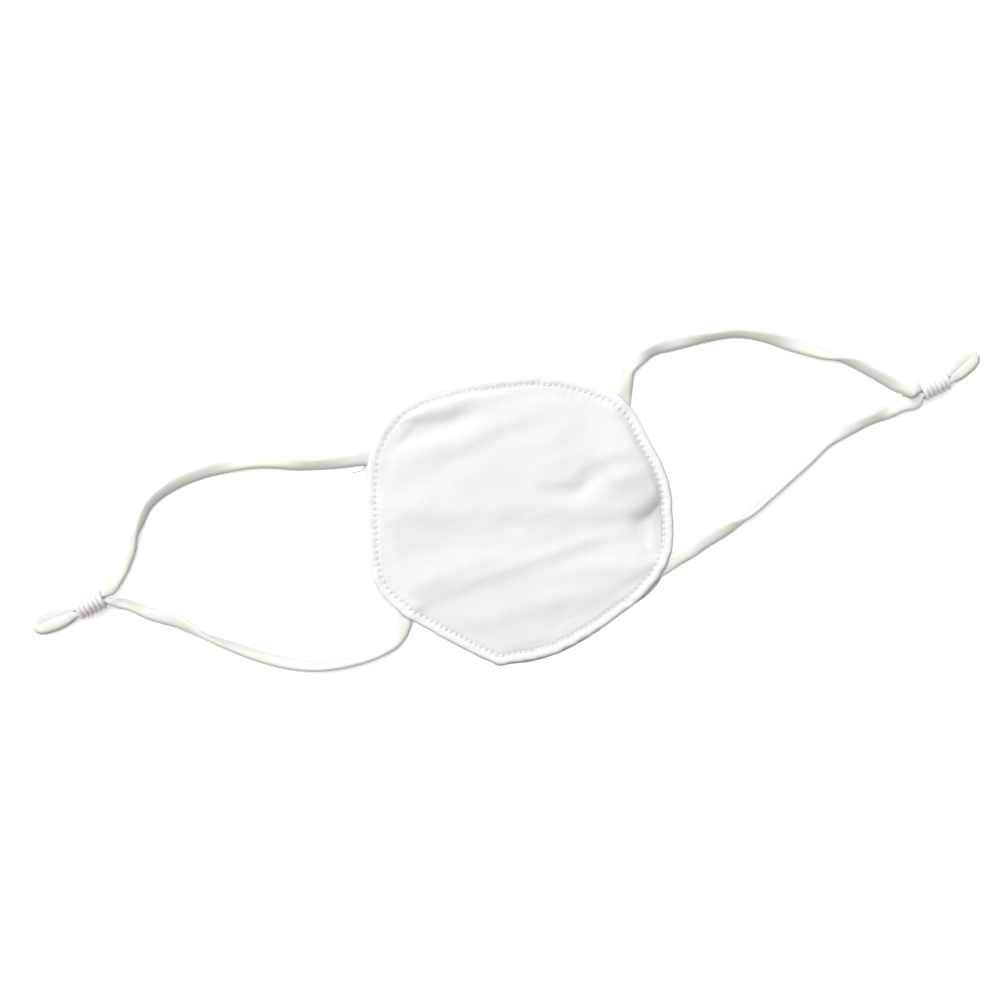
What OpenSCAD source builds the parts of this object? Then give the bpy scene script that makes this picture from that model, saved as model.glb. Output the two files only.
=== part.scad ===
// Flat sewn cloth face mask: a padded round panel of two cloths and a filter,
// two soft elastic ear cords, and a ribbed adjuster on each cord.
// The panel lies on z = 0 with its front cloth up. +Y points to the nose edge, +X to the right.

/* [Panel] */
// Width of the sewn panel from cheek to cheek
panel_w = 124; // [123:0.5:125]
// Thickness of one layer of woven cloth
cloth_t = 0.5; // [0.4:0.05:0.5]
// Thickness of the filter layer
filter_t = 0.6; // [0.3:0.05:0.7]
// Thickness of the turned-in edges inside the hem
turned_t = 1.2; // [1.2:0.05:1.6]
// Width of the turned-in edges, measured inwards from the panel's edge
turned_w = 8.5; // [8.5:0.1:9]
// Rise of the front cloth between the hem and the middle of the panel
puff_h = 1.2; // [0.8:0.1:3]

/* [Stitching] */
// Distance of the topstitch from the panel's edge
stitch_inset = 3.8; // [3.4:0.1:4.4]
// Number of topstitches round the panel
stitch_count = 148; // [120:1:156]
// Length of one topstitch on the surface
stitch_len = 1.9; // [1.2:0.1:2]
// Thickness of the sewing thread
thread_d = 0.3; // [0.2:0.05:0.3]

/* [Ear cords] */
// Width of the soft flat cord
cord_w = 5.6; // [5.2:0.1:5.8]
// Thickness of the soft flat cord
cord_t = 2.8; // [2.4:0.1:2.8]
// Length of cord that is sewn inside the hem
sewn_len = 8; // [6:0.5:8]
// Width of the flattened cord where it is sewn in
sewn_w = 6.2; // [5.6:0.1:6.4]
// Thickness of the flattened cord where it is sewn in
sewn_t = 0.9; // [0.8:0.05:0.9]

/* [Adjusters] */
// Outer diameter over the ribs
adjuster_d = 8.2; // [8:0.1:9]
// Length of the sleeve
adjuster_len = 11.5; // [11.5:0.1:12]
// Diameter of the bore that both strands pass through
adjuster_bore = 5; // [5:0.1:5.4]
// Distance between two ribs
rib_pitch = 1.9; // [1.8:0.05:1.9]
// Number of ribs
rib_count = 6; // [4:1:6]

/* [Hidden] */

cloth_colour = "#f2f3f6";
filter_colour = "#e4e6ea";
thread_colour = "#dfe1e6";
cord_colour = "#ece9df";
silicone_colour = "#efe6e2";

// The outline: [angle, radius as a share of half the width], closed smoothly
edge_marks = [
    [0, 1.00], [20, 0.99], [36, 1.03], [50, 0.99], [70, 0.945], [87, 0.925],
    [105, 0.97], [118, 1.03], [128, 1.07], [143, 1.06], [156, 1.01], [172, 0.985],
    [192, 1.02], [206, 0.975], [218, 0.92], [234, 0.905], [246, 0.93], [250, 0.945],
    [255, 0.925], [272, 0.895], [288, 0.875], [304, 0.89], [320, 0.955], [336, 1.005],
    [350, 0.992]
];
outline_steps = 90;
front_steps = 60;
// Insets at which the front cloth's height is worked out
front_insets = [0, 1, 2.2, 3.8, 5.4, 9, 16, 28, 42];
front_gap = 0.05;
hem_top = cloth_t + turned_t + front_gap;

// Cord exits: [angle on the outline, heading of the cord as it leaves, free root]
left_upper_exit = [145.5, 176, 3];
left_lower_exit = [208.4, 252, 3];
right_upper_exit = [37, 68, 3];
right_lower_exit = [331, 19, 5.2];
root_gap = 0.3;
root_z = 1.1;
root_half_t = 1;

// Routes of the strands: [x, y, roll of the flat cord about its own line]
left_upper_route = [
    [-66, 37.8, 35], [-78, 39.4, 38], [-90, 42.8, 32], [-102, 45, 28],
    [-114, 45.4, 28], [-125, 44.4, 32], [-135.5, 41.5, 44], [-143.5, 37, 62],
    [-149.5, 29, 82], [-155.5, 19.4, 60], [-162, 10.6, 28]
];
left_lower_route = [
    [-161, -0.2, 62], [-152, -6, 15], [-142, -11.8, 5], [-132.5, -19.2, 40],
    [-122.5, -25.6, 58], [-112, -31.8, 45], [-101, -37.4, 42], [-89, -40.8, 55],
    [-77, -41.4, 54], [-66, -40, 48], [-58, -36.8, 36]
];
right_upper_route = [
    [55.8, 49.6, 66], [65, 55, 64], [77, 56.4, 46], [89.5, 56.6, 62],
    [101, 55, 66], [112, 51, 54], [123, 45, 44], [133.5, 39.2, 60],
    [143, 34.4, 74], [152, 27.2, 50], [160, 20.6, 32]
];
right_lower_route = [
    [158, 12.6, 42], [147.5, 10.6, 32], [137, 8.4, 28], [127, 5.2, 38],
    [117.5, -1, 54], [108.5, -6.4, 64], [99.5, -12, 86], [90, -17.6, 58],
    [80, -21.8, 42], [70.5, -24.8, 40], [63, -27.2, 30]
];

// Adjusters: [centre x, centre y, heading out to the tail, side of the upper strand]
left_adjuster_at = [-174.3, 2.5, 194, -1];
right_adjuster_at = [173.4, 17.9, 14.5, 1];
strand_offset = 1.05;
strand_half_w = 0.9;
strand_half_t = 1.75;
mouth_gap = 1;
mouth_flare = 0.5;
rib_r = 0.85;
sleeve_r = adjuster_d/2 - 0.6;

// Tails: [heading, length from the adjuster to the tip, half the width of one strand]
left_tail = [189.3, 20, 2.3];
right_tail = [28, 16.8, 2.2];
tail_turn_r = 2.6;

// Bend of the loose thread: [centre x, centre y, bend radius, first angle, sweep]
loose_thread = [-62, 46.6, 14, 274, 24];

// Seam that closes the edge, and the tack across each sewn-in cord end
seam_inset = 0.9;
seam_room = 0.35;
tack_t = 0.12;
tack_l = 1.4;

cord_sides = 10;
trim_facets = 24;

// Outline of the panel, smooth through the marks
function mark(i) =
    let (n = len(edge_marks), turns = floor(i/n), m = edge_marks[i - n*turns])
    [m[0] + 360*turns, m[1]];
function mark_slope(i) = (mark(i + 1)[1] - mark(i - 1)[1])/(mark(i + 1)[0] - mark(i - 1)[0]);
function mark_before(a) = len([for (m = edge_marks) if (m[0] <= a) 1]) - 1;
function edge_ratio(a) =
    let (
        w = a - 360*floor(a/360),
        i = mark_before(w),
        p = mark(i),
        q = mark(i + 1),
        gap = q[0] - p[0],
        t = (w - p[0])/gap
    )
    (2*t^3 - 3*t^2 + 1)*p[1] + (3*t^2 - 2*t^3)*q[1]
    + (t^3 - 2*t^2 + t)*gap*mark_slope(i) + (t^3 - t^2)*gap*mark_slope(i + 1);
function edge_point(a, inset) = (panel_w/2*edge_ratio(a) - inset)*[cos(a), sin(a)];
function edge_heading(a) =
    let (step = edge_point(a + 1, 0) - edge_point(a - 1, 0))
    atan2(step.y, step.x);

module panel_outline(inset) {
    polygon([for (k = [0:outline_steps - 1]) edge_point(360*k/outline_steps, inset)]);
}

module panel_band(outer_inset, inner_inset) {
    difference() {
        panel_outline(outer_inset);
        panel_outline(inner_inset);
    }
}

// Height of the front cloth over the hem: puffed in the middle, pulled down at the stitches
function front_rise(inset) =
    puff_h*(1 - exp(-inset/8)) - 0.3*exp(-((inset - stitch_inset)/0.9)^2);

function front_ring(inset, z) =
    [for (k = [0:front_steps - 1])
        let (p = edge_point(360*k/front_steps, inset)) [p.x, p.y, z + front_rise(inset)]];

module outer_cloth() {
    stations = len(front_insets);
    n = front_steps;
    upper = [for (inset = front_insets) each front_ring(inset, hem_top + cloth_t)];
    lower = [for (inset = front_insets) each front_ring(inset, hem_top)];
    top_centre = [0, 0, hem_top + cloth_t + puff_h];
    low_centre = [0, 0, hem_top + puff_h];
    base = stations*n;
    top_faces = [for (s = [0:stations - 2], k = [0:n - 1])
        [s*n + k, (s + 1)*n + k, (s + 1)*n + (k + 1)%n, s*n + (k + 1)%n]];
    low_faces = [for (f = top_faces) [base + f[3], base + f[2], base + f[1], base + f[0]]];
    wall = [for (k = [0:n - 1]) [k, (k + 1)%n, base + (k + 1)%n, base + k]];
    last = (stations - 1)*n;
    top_fan = [for (k = [0:n - 1]) [last + k, 2*base, last + (k + 1)%n]];
    low_fan = [for (k = [0:n - 1]) [base + last + (k + 1)%n, 2*base + 1, base + last + k]];
    color(cloth_colour)
        polyhedron(
            points = concat(upper, lower, [top_centre, low_centre]),
            faces = concat(top_faces, low_faces, wall, top_fan, low_fan)
        );
}

module filter_layer() {
    color(filter_colour)
        translate([0, 0, cloth_t])
            linear_extrude(filter_t)
                panel_outline(turned_w + 0.5);
}

module inner_cloth() {
    groove_half_w = thread_d*2.5;
    color(cloth_colour)
        difference() {
            linear_extrude(cloth_t)
                panel_outline(0);
            translate([0, 0, -1])
                linear_extrude(1 + thread_d)
                    panel_band(stitch_inset - groove_half_w, stitch_inset + groove_half_w);
        }
}

// Places children at a cord exit, with +X along the cord as it leaves the panel
module at_exit(exit) {
    p = edge_point(exit[0], 0);
    translate([p.x, p.y, 0])
        rotate([0, 0, exit[1]])
            children();
}

module for_each_exit() {
    for (exit = [left_upper_exit, left_lower_exit, right_upper_exit, right_lower_exit])
        at_exit(exit)
            children();
}

// Plan of the way that the sewn-in cord ends take through the hem
module cord_notches() {
    notch_w = sewn_w + 0.4;
    notch_len = sewn_len + 0.4;
    for_each_exit()
        translate([-notch_len, -notch_w/2])
            square([notch_len + 6, notch_w]);
}

module turned_edges() {
    color(cloth_colour)
        translate([0, 0, cloth_t])
            difference() {
                linear_extrude(turned_t)
                    difference() {
                        panel_band(0.15, turned_w);
                        cord_notches();
                    }
                translate([0, 0, turned_t/2 - seam_room])
                    linear_extrude(2*seam_room)
                        panel_band(seam_inset - seam_room, seam_inset + seam_room);
            }
}

module closing_seam() {
    color(thread_colour)
        translate([0, 0, cloth_t + turned_t/2 - thread_d/2])
            linear_extrude(thread_d)
                difference() {
                    panel_band(seam_inset - thread_d/2, seam_inset + thread_d/2);
                    cord_notches();
                }
}

// One short length of thread per stitch, lying along the outline
module stitch_line(z, d, length) {
    for (k = [0:stitch_count - 1]) {
        a = 360*k/stitch_count;
        p = edge_point(a, stitch_inset);
        translate([p.x, p.y, z])
            rotate([0, 90, edge_heading(a)])
                cylinder(d = d, h = length, center = true, $fn = trim_facets);
    }
}

module topstitch() {
    color(thread_colour)
        stitch_line(hem_top + cloth_t + front_rise(stitch_inset), thread_d, stitch_len);
}

module bobbin_stitch() {
    bobbin_d = thread_d - 0.08;
    color(thread_colour)
        stitch_line(thread_d/2 - 0.02, bobbin_d, stitch_len);
}

// Flattened end of an ear cord, sewn into the hem and standing out by its free root
module cord_end(exit) {
    color(cord_colour)
        at_exit(exit)
            translate([-sewn_len, -sewn_w/2, root_z - sewn_t/2])
                cube([sewn_len + exit[2], sewn_w, sewn_t]);
}

module left_upper_cord_end() cord_end(left_upper_exit);
module left_lower_cord_end() cord_end(left_lower_exit);
module right_upper_cord_end() cord_end(right_upper_exit);
module right_lower_cord_end() cord_end(right_lower_exit);

// A bar of thread across each sewn-in cord end
module cord_tacks() {
    color(thread_colour)
        for_each_exit()
            translate([-sewn_len*0.7, -sewn_w*0.4, root_z + sewn_t/2])
                cube([tack_l, sewn_w*0.8, tack_t]);
}

// A cut end of sewing thread that sticks out under the left upper cord
module loose_thread_end() {
    color(thread_colour)
        translate([loose_thread.x, loose_thread.y, thread_d])
            rotate([0, 0, loose_thread[3]])
                rotate_extrude(angle = loose_thread[4], $fn = 96)
                    translate([loose_thread[2], 0])
                        circle(d = thread_d, $fn = trim_facets);
}

// Rings of a cord: [x, y, z, half width, half thickness, roll, heading or undef]
function lay_height(roll) = norm([cord_w/2*sin(roll), cord_t/2*cos(roll)]);
function strand_rings(route) =
    [for (p = route) [p.x, p.y, lay_height(p[2]), cord_w/2, cord_t/2, p[2], undef]];
function root_ring(exit, facing) =
    let (p = edge_point(exit[0], 0) + (exit[2] + root_gap)*[cos(exit[1]), sin(exit[1])])
    [p.x, p.y, root_z, sewn_w/2, root_half_t, 0, exit[1] + facing];
function mouth_point(at, along, across) =
    [at.x, at.y] + along*[cos(at[2]), sin(at[2])] + across*[-sin(at[2]), cos(at[2])];
function mouth_ring(at, along, side, facing) =
    let (p = mouth_point(at, along, side*at[3]*strand_offset))
    [p.x, p.y, adjuster_d/2, strand_half_w, strand_half_t, 0, at[2] + facing];

// Rings of the tail loop, from the upper strand round the tip to the lower strand
function tail_rings(at, tail) =
    let (
        start = mouth_point(at, adjuster_len/2, 0),
        dir = [cos(tail[0]), sin(tail[0])],
        across = at[3]*[-dir.y, dir.x],
        turn_centre = tail[1] - tail_turn_r - tail[2],
        out = [
            for (s = [[4, 1.8, 2.8], [9, tail_turn_r, 2]])
                let (p = start + s[0]*dir + s[1]*across)
                [p.x, p.y, s[2], tail[2]*s[1]/tail_turn_r, cord_t/2, 0, tail[0]]
        ],
        turn = [
            for (a = [90:-45:-90])
                let (p = start + turn_centre*dir + tail_turn_r*(cos(a)*dir + sin(a)*across))
                [p.x, p.y, cord_t/2, tail[2], cord_t/2, 0, tail[0] + at[3]*(a - 90)]
        ],
        back = [
            for (s = [[9, tail_turn_r, 2], [4, 1.8, 2.8]])
                let (p = start + s[0]*dir - s[1]*across)
                [p.x, p.y, s[2], tail[2]*s[1]/tail_turn_r, cord_t/2, 0, tail[0] + 180]
        ]
    )
    concat(out, turn, back);

function cord_rings(upper_exit, upper_route, at, tail, lower_route, lower_exit) =
    let (reach = adjuster_len/2 + mouth_gap)
    concat(
        [root_ring(upper_exit, 0)],
        strand_rings(upper_route),
        [mouth_ring(at, -reach, 1, 0), mouth_ring(at, reach, 1, 0)],
        tail_rings(at, tail),
        [mouth_ring(at, reach, -1, 180), mouth_ring(at, -reach, -1, 180)],
        strand_rings(lower_route),
        [root_ring(lower_exit, 180)]
    );

function ring_heading(rings, i) =
    rings[i][6] != undef ? rings[i][6]
    : let (step = rings[i + 1] - rings[i - 1]) atan2(step[1], step[0]);
function ring_points(ring, heading) =
    [for (k = [0:cord_sides - 1])
        let (
            a = 360*k/cord_sides,
            wide = ring[3]*cos(a),
            thick = ring[4]*sin(a),
            across = wide*cos(ring[5]) - thick*sin(ring[5]),
            up = wide*sin(ring[5]) + thick*cos(ring[5])
        )
        [ring[0] - across*sin(heading), ring[1] + across*cos(heading), ring[2] + up]];

// A closed tube through all the rings of a cord
module swept_cord(rings) {
    n = cord_sides;
    last = len(rings) - 1;
    points = [for (i = [0:last]) each ring_points(rings[i], ring_heading(rings, i))];
    sides = [for (i = [0:last - 1], k = [0:n - 1])
        let (a = i*n + k, b = i*n + (k + 1)%n)
        each [[a, b, b + n], [a, b + n, a + n]]];
    first_cap = [[for (k = [n - 1:-1:0]) k]];
    last_cap = [[for (k = [0:n - 1]) last*n + k]];
    polyhedron(points = points, faces = concat(sides, first_cap, last_cap));
}

module left_ear_cord() {
    color(cord_colour)
        swept_cord(cord_rings(left_upper_exit, left_upper_route, left_adjuster_at,
            left_tail, left_lower_route, left_lower_exit));
}

module right_ear_cord() {
    color(cord_colour)
        swept_cord(cord_rings(right_upper_exit, right_upper_route, right_adjuster_at,
            right_tail, right_lower_route, right_lower_exit));
}

// Ribbed sleeve turned about its own length, with flared mouths
module adjuster(at) {
    bore_r = adjuster_bore/2;
    half_len = adjuster_len/2;
    color(silicone_colour)
        translate([at.x, at.y, adjuster_d/2])
            rotate([0, 90, at[2]])
                rotate_extrude($fn = 64)
                    difference() {
                        union() {
                            translate([0, -half_len])
                                square([sleeve_r, adjuster_len]);
                            for (k = [0:rib_count - 1])
                                translate([adjuster_d/2 - rib_r, (k - (rib_count - 1)/2)*rib_pitch])
                                    circle(r = rib_r, $fn = trim_facets);
                        }
                        translate([0, -half_len - 1])
                            square([bore_r, adjuster_len + 2]);
                        for (end = [-1, 1])
                            polygon([
                                [bore_r - 0.1, end*(half_len - mouth_flare - 0.1)],
                                [bore_r + mouth_flare, end*(half_len + 0.001)],
                                [bore_r - 0.1, end*(half_len + 0.001)]
                            ]);
                    }
}

module left_adjuster() adjuster(left_adjuster_at);
module right_adjuster() adjuster(right_adjuster_at);

outer_cloth();
filter_layer();
inner_cloth();
turned_edges();
closing_seam();
topstitch();
bobbin_stitch();
cord_tacks();
left_upper_cord_end();
left_lower_cord_end();
right_upper_cord_end();
right_lower_cord_end();
loose_thread_end();
left_ear_cord();
right_ear_cord();
left_adjuster();
right_adjuster();
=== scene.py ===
"""Looks of a flat sewn cloth face mask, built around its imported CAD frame."""

import math

import bpy
import numpy as np
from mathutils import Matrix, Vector


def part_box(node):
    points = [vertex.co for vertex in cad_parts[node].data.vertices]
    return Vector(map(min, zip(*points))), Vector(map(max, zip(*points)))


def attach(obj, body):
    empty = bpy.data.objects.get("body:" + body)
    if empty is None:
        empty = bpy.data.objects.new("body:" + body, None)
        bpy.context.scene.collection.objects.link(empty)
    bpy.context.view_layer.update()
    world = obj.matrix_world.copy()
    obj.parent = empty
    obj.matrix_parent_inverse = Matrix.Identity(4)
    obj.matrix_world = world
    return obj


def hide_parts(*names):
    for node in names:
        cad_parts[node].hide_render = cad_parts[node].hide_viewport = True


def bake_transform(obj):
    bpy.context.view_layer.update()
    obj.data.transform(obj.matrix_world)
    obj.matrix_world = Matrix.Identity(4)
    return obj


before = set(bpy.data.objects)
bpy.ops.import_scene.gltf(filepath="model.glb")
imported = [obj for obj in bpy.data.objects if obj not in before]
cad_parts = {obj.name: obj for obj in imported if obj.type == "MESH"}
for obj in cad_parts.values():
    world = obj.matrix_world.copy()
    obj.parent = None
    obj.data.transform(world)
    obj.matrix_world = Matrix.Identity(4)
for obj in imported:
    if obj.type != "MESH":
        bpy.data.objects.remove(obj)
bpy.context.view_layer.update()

MM = 0.001


# ---- helpers

def unit(degrees):
    return np.array([math.cos(math.radians(degrees)), math.sin(math.radians(degrees))])


def smooth(t):
    t = np.clip(t, 0, 1)
    return t * t * (3 - 2 * t)


def hill(x, width):
    return np.exp(-((x / width) ** 2))


def placed(name, data):
    obj = bpy.data.objects.new(name, data)
    bpy.context.scene.collection.objects.link(obj)
    return obj


def hermite(t, gap, a, b, slope_a, slope_b):
    """Smooth curve from a to b, which are gap apart, at the share t of the way."""
    return ((2 * t**3 - 3 * t**2 + 1) * a + (3 * t**2 - 2 * t**3) * b
            + (t**3 - 2 * t**2 + t) * gap * slope_a + (t**3 - t**2) * gap * slope_b)


def arc_lengths(line):
    return np.concatenate([[0], np.cumsum(np.linalg.norm(np.diff(line, axis=0), axis=1))])


def new_object(name, points, faces, material, uv=None, tone=None):
    """A smooth-shaded mesh object; uv is one (u, v) and tone one lightness per vertex."""
    mesh = bpy.data.meshes.new(name)
    mesh.from_pydata([tuple(p) for p in points], [], faces)
    mesh.polygons.foreach_set("use_smooth", [True] * len(mesh.polygons))
    if uv is not None:
        layer = mesh.uv_layers.new(name="UVMap")
        corner_vertex = np.empty(len(mesh.loops), int)
        mesh.loops.foreach_get("vertex_index", corner_vertex)
        layer.data.foreach_set("uv", np.asarray(uv, float)[corner_vertex].ravel())
    if tone is not None:
        attribute = mesh.attributes.new("tone", "FLOAT", "POINT")
        attribute.data.foreach_set("value", np.asarray(tone, np.float32).ravel())
    mesh.materials.append(material)
    mesh.update()
    return placed(name, mesh)


def grid_faces(rows, columns, closed=True, first=0):
    """Quads between rows of points, each row closed on itself or open."""
    faces = []
    across = columns if closed else columns - 1
    for i in range(rows - 1):
        for k in range(across):
            a, b = first + i * columns + k, first + i * columns + (k + 1) % columns
            faces.append((a, b, b + columns, a + columns))
    return faces


# ---- camera

FRAME_WIDTH = 0.400
VIEW_CENTRE = (-0.0058, 0.0094, 0.002)
VIEW_ROLL = -12
LENS = 85
SENSOR = 36


def make_camera():
    data = bpy.data.cameras.new("camera")
    data.lens = LENS
    data.sensor_width = SENSOR
    data.clip_start, data.clip_end = 0.01, 10
    camera = placed("camera", data)
    height = FRAME_WIDTH * LENS / SENSOR
    camera.location = Vector(VIEW_CENTRE) + Vector((0, 0, height))
    camera.rotation_euler = (0, 0, math.radians(VIEW_ROLL))
    bpy.context.scene.camera = camera


# ---- materials

class Nodes:
    """A short way to build a node material."""

    def __init__(self, name, colour, roughness):
        self.material = bpy.data.materials.new(name)
        self.material.use_nodes = True
        self.tree = self.material.node_tree
        self.shader = self.tree.nodes["Principled BSDF"]
        self.shader.inputs["Base Color"].default_value = (*colour, 1)
        self.shader.inputs["Roughness"].default_value = roughness

    def add(self, kind, links=None, **values):
        node = self.tree.nodes.new(kind)
        for key, value in values.items():
            setattr(node, key, value)
        for key, source in (links or {}).items():
            self.tree.links.new(source, node.inputs[key])
        return node

    def maths(self, operation, a, b=0.0, c=0.0):
        node = self.add("ShaderNodeMath", operation=operation)
        for slot, value in zip(node.inputs, (a, b, c)):
            if isinstance(value, (int, float)):
                slot.default_value = value
            else:
                self.tree.links.new(value, slot)
        return node.outputs[0]

    def plus(self, a, b):
        return self.maths("ADD", a, b)

    def times(self, a, b):
        return self.maths("MULTIPLY", a, b)

    def uv_parts(self):
        uv = self.add("ShaderNodeUVMap", uv_map="UVMap")
        parts = self.add("ShaderNodeSeparateXYZ", {0: uv.outputs[0]})
        return parts.outputs[0], parts.outputs[1]

    def noise(self, scale, detail):
        place = self.add("ShaderNodeTexCoord").outputs["Object"]
        node = self.add("ShaderNodeTexNoise", {"Vector": place})
        node.inputs["Scale"].default_value = scale
        node.inputs["Detail"].default_value = detail
        return node.outputs[0]

    def tone(self):
        """The lightness kept on the mesh, from 0 to 1, which holds painted shade."""
        return self.add("ShaderNodeAttribute", attribute_name="tone").outputs["Fac"]

    def mix_colour(self, factor, first, second):
        node = self.add("ShaderNodeMix", data_type="RGBA")
        self.tree.links.new(factor, node.inputs[0])
        node.inputs[6].default_value = (*first, 1)
        node.inputs[7].default_value = (*second, 1)
        self.tree.links.new(node.outputs[2], self.shader.inputs["Base Color"])

    def bump(self, height, strength, distance):
        node = self.add("ShaderNodeBump", {"Height": height})
        node.inputs["Strength"].default_value = strength
        node.inputs["Distance"].default_value = distance
        self.tree.links.new(node.outputs[0], self.shader.inputs["Normal"])

    def set(self, **values):
        for key, value in values.items():
            self.shader.inputs[key.replace("_", " ")].default_value = value


WEAVE_PITCH = 0.00042
TWIST_PITCH = 0.0005
KNIT_PITCH = 0.0007
KNIT_WALES = 22.0
FLOOR_GLOW = 0.32


def weave_material():
    """Plain weave: warp and weft threads that pass over each other by turns."""
    light, dark = (0.658, 0.658, 0.66), (0.27, 0.27, 0.28)
    m = Nodes("cotton_plain_weave", light, 0.88)
    x, y = m.uv_parts()
    turn = math.pi / WEAVE_PITCH
    warp = m.maths("SINE", m.times(x, turn))
    weft = m.maths("SINE", m.times(y, turn))
    across = m.maths("ABSOLUTE", warp)
    along = m.maths("ABSOLUTE", weft)
    sign = m.times(warp, weft)
    over = m.maths("GREATER_THAN", sign, 0.0)
    height = m.plus(m.times(across, over), m.times(along, m.maths("SUBTRACT", 1.0, over)))
    slub = m.noise(900, 4)
    cloudy = m.noise(38, 5)
    total = m.plus(height, m.times(slub, 0.7))
    grain = m.plus(m.times(height, 0.10), m.times(cloudy, 0.16))
    # The mesh's tone, which holds painted shade, mixes the cloth towards the dark colour.
    m.mix_colour(m.plus(m.maths("SUBTRACT", grain, 0.13), m.tone()), dark, light)
    m.bump(total, 0.3, 0.00010)
    m.set(Sheen_Weight=0.25, Sheen_Roughness=0.5, Specular_IOR_Level=0.25)
    return m.material


def thread_material(name="sewing_thread", dark=(0.62, 0.62, 0.64), light=(0.76, 0.76, 0.765)):
    """Twisted sewing thread."""
    m = Nodes(name, light, 0.6)
    x, y = m.uv_parts()
    twist = m.maths("SINE", m.plus(m.times(x, 2 * math.pi / TWIST_PITCH),
                                   m.times(y, 2 * math.pi)))
    m.mix_colour(m.maths("MULTIPLY_ADD", twist, 0.5, 0.5), dark, light)
    m.bump(twist, 0.5, 0.00004)
    m.set(Sheen_Weight=0.2)
    return m.material


def cord_material():
    """Fine knitted elastic: chevron stitches in rows along the cord."""
    m = Nodes("ear_cord_knit", (0.84, 0.82, 0.76), 0.8)
    along, around = m.uv_parts()
    wale = m.maths("PINGPONG", m.times(around, KNIT_WALES), 0.5)
    rows = m.plus(m.times(along, 1.0 / KNIT_PITCH),
                   m.times(wale, 1.6))
    stitch = m.maths("SINE", m.times(rows, 2 * math.pi))
    valley = m.maths("SINE", m.times(wale, 2 * math.pi))
    fuzz = m.noise(1500, 4)
    height = m.plus(m.maths("MULTIPLY_ADD", stitch, 0.5, 0.5),
                    m.plus(m.times(valley, 0.8), m.times(fuzz, 0.8)))
    cloudy = m.noise(60, 4)
    tone = m.plus(m.times(height, 0.16), m.maths("MULTIPLY_ADD", cloudy, 0.4, 0.55))
    # The mesh's tone, which holds painted shade, mixes the knit towards the dark colour.
    m.mix_colour(m.times(tone, m.tone()), (0.28, 0.27, 0.235), (0.64, 0.63, 0.59))
    m.bump(height, 0.4, 0.00010)
    m.set(Sheen_Weight=0.35, Sheen_Roughness=0.45, Specular_IOR_Level=0.3)
    return m.material


def silicone_material():
    """Semi-gloss translucent-looking silicone with a fine moulded skin."""
    m = Nodes("adjuster_silicone", (0.87, 0.82, 0.79), 0.42)
    grain = m.noise(2500, 3)
    cloudy = m.noise(220, 3)
    # The mesh's tone, which holds painted shade, mixes the silicone towards the dark colour.
    m.mix_colour(m.times(m.maths("MULTIPLY_ADD", cloudy, 0.5, 0.6), m.tone()),
                 (0.30, 0.27, 0.25), (0.74, 0.705, 0.685))
    m.bump(grain, 0.15, 0.00003)
    m.set(Subsurface_Weight=0.25, Subsurface_Scale=0.002, Specular_IOR_Level=0.45)
    m.shader.inputs["Subsurface Radius"].default_value = (1.0, 0.7, 0.55)
    return m.material


def felt_material():
    """Non-woven filter: matted short fibres."""
    m = Nodes("filter_felt", (0.84, 0.85, 0.87), 0.95)
    fibre = m.noise(1400, 6)
    m.mix_colour(fibre, (0.74, 0.75, 0.78), (0.9, 0.905, 0.92))
    m.bump(fibre, 0.6, 0.0002)
    return m.material


def floor_material():
    """A pale sheet lit a little from below, so that shadows on it stay faint."""
    m = Nodes("pale_floor", (0.99, 0.99, 0.99), 0.9)
    cloudy = m.noise(3, 2)
    m.mix_colour(cloudy, (0.985, 0.985, 0.985), (0.995, 0.995, 0.995))
    m.set(Specular_IOR_Level=0.0, Emission_Strength=FLOOR_GLOW)
    m.shader.inputs["Emission Color"].default_value = (1, 1, 1, 1)
    return m.material


CLOTH = weave_material()
THREAD = thread_material()
CORD = cord_material()
SILICONE = silicone_material()
FELT = felt_material()
LOOSE_THREAD = thread_material("loose_thread_grey", (0.10, 0.10, 0.10), (0.2, 0.2, 0.2))


# ---- ear cords

CORD_W = 0.0056
CORD_T = 0.0028
CORD_SIDES = 28
CORD_SOFTNESS = 0.86
RING_STEP = 0.0007
CORD_FLOOR_GAP = 0.00005
ROOT_LENGTH = 0.0095
SEWN_LENGTH = 0.008
ROOT_Z = 0.00138
SEWN_W = 0.0062
SEWN_T = 0.00062
FREE_ROOT = (0.0013, SEWN_W / 2 * 0.92, 0.0011)  # height, half width, half thickness

# Outline of the panel: (angle, radius as a share of half the width)
EDGE_MARKS = [
    (0, 1.00), (20, 0.99), (36, 1.03), (50, 0.99), (70, 0.945), (87, 0.925),
    (105, 0.97), (118, 1.03), (128, 1.07), (143, 1.06), (156, 1.01), (172, 0.985),
    (192, 1.02), (206, 0.975), (218, 0.92), (234, 0.905), (246, 0.93), (250, 0.945),
    (255, 0.925), (272, 0.895), (288, 0.875), (304, 0.89), (320, 0.955), (336, 1.005),
    (350, 0.992),
]
HALF_WIDTH = 0.062

# Cord exits: (angle on the outline, heading of the cord as it leaves, free root)
EXITS = {
    "left_upper": (145.5, 176, 0.003),
    "left_lower": (208.4, 252, 0.003),
    "right_upper": (37, 68, 0.003),
    "right_lower": (331, 19, 0.0052),
}
ROOT_GAP = 0.0003

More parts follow.
